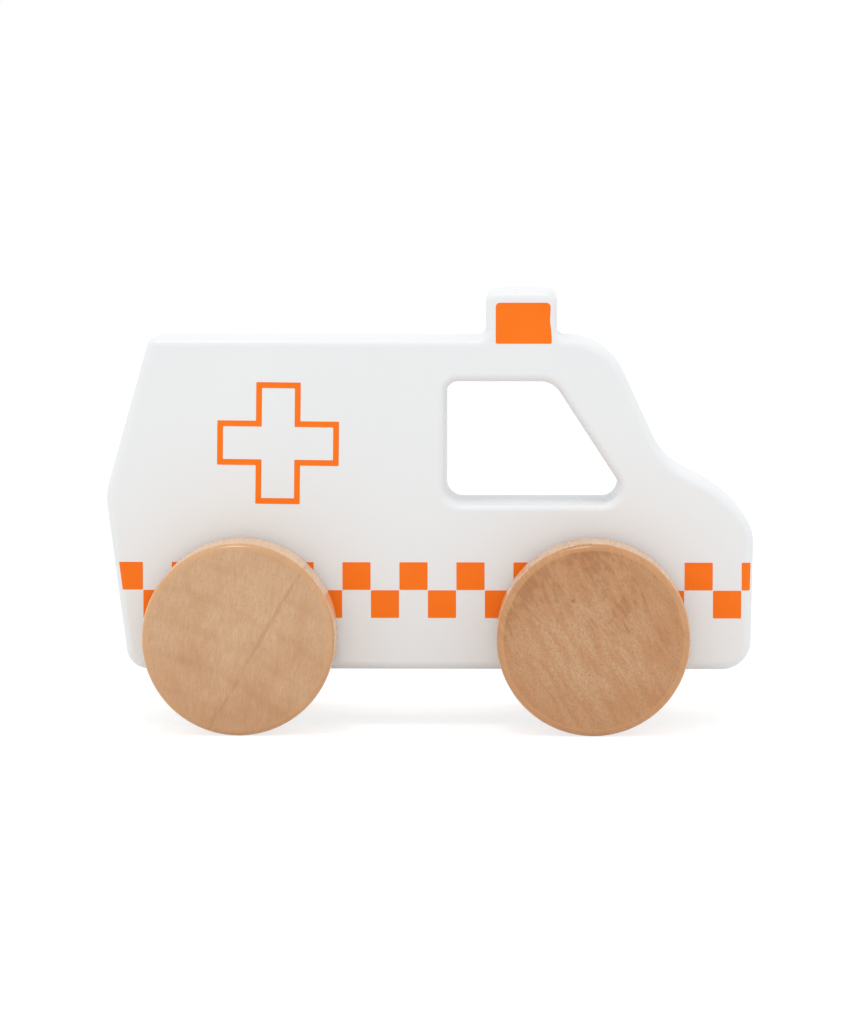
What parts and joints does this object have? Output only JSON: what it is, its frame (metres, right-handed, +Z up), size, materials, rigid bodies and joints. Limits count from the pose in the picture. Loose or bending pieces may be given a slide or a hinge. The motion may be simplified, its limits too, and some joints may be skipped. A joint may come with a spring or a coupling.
{
  "type": "toy ambulance",
  "caption": "Wooden push-along toy ambulance: one painted plank with a finger-grip window and a beacon stub, on disc wheels that roll on dowel axles.",
  "frame": {"origin": "on the floor, under the middle of the plank's length and thickness", "axes": "+X towards the nose, +Y towards the left-hand side of the vehicle, +Z up"},
  "size_m": [0.14, 0.064, 0.0944],
  "materials": {
    "painted_plank": "white satin paint on solid wood",
    "dowel_wood": "bare sanded dowel",
    "wheel_wood": "turned and sanded, clear matt oil"
  },
  "bodies": {
    "plank": {"body": "painted_plank"},
    "front_wheel_set": {"front_axle": "dowel_wood", "front_right_wheel": "wheel_wood", "front_left_wheel": "wheel_wood"},
    "rear_wheel_set": {"rear_axle": "dowel_wood", "rear_right_wheel": "wheel_wood", "rear_left_wheel": "wheel_wood"}
  },
  "joints": [
    {"name": "front_axle_spin", "type": "hinge", "parent": "plank", "child": "front_wheel_set", "pos_m": [0.0352, 0, 0.02065], "axis": [0, 1, 0], "continuous": true},
    {"name": "rear_axle_spin", "type": "hinge", "parent": "plank", "child": "rear_wheel_set", "pos_m": [-0.0405, 0, 0.02065], "axis": [0, 1, 0], "continuous": true}
  ]
}
